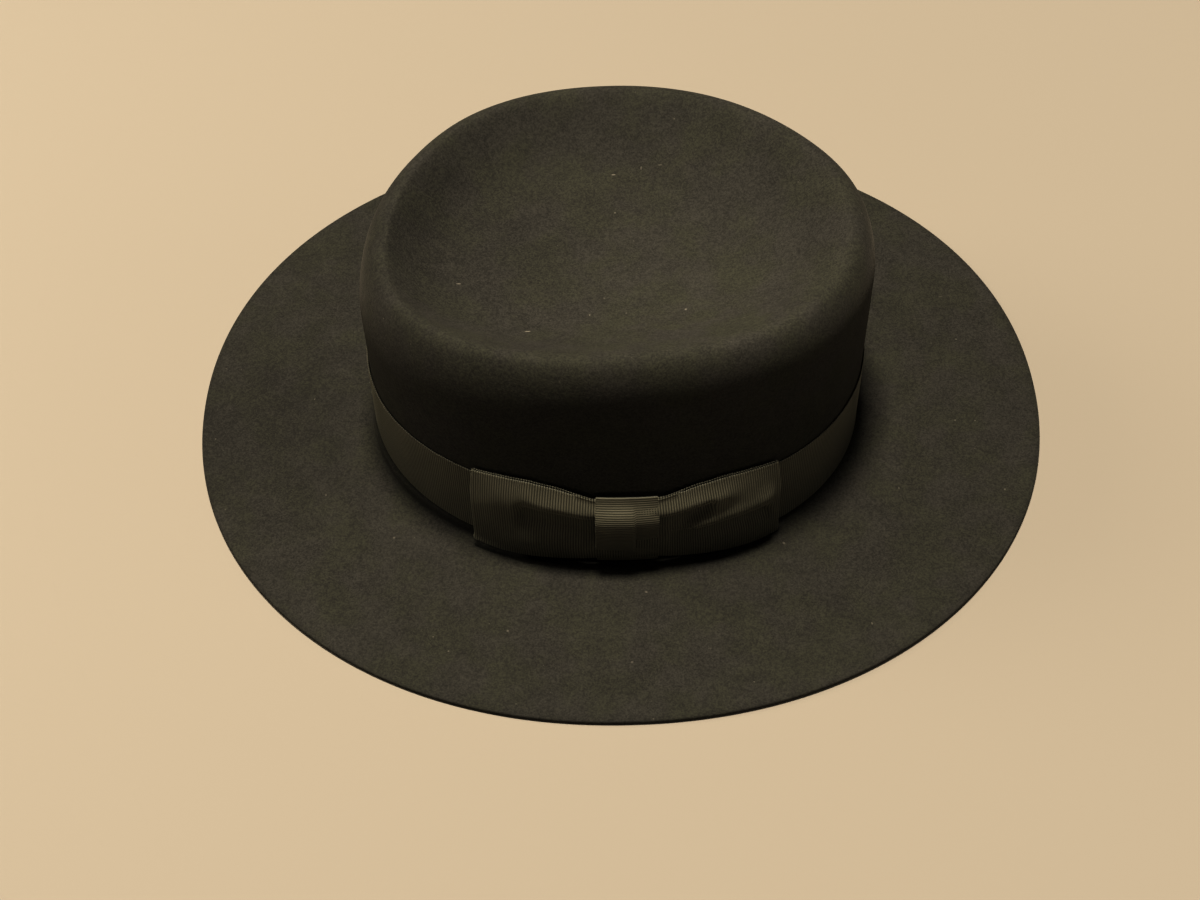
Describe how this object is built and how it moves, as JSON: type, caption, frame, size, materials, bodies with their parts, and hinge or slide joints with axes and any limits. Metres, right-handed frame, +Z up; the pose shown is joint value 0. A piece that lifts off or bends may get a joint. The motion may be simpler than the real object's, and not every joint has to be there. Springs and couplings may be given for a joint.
{
  "type": "fur felt fedora",
  "caption": "Wide-brimmed felt hat with an oval dished crown, a flat raw-edged brim, a ribbed ribbon band and a flat side bow; open below for the head.",
  "frame": {"origin": "on the surface that the brim lies on, under the middle of the brim's outline", "axes": "+X to the back of the hat and -X to its front, -Y to the wearer's left where the bow is, +Z up through the crown"},
  "size_m": [0.366, 0.33, 0.1153],
  "materials": {
    "fur_felt": "soft matte black fur felt with a short nap",
    "ribbed_ribbon": "ribbed black ribbon with a low sheen"
  },
  "bodies": {
    "root": {"felt_body": "fur_felt", "hat_band": "ribbed_ribbon", "bow_loop_left": "ribbed_ribbon", "bow_loop_right": "ribbed_ribbon", "bow_knot": "ribbed_ribbon"}
  },
  "joints": []
}
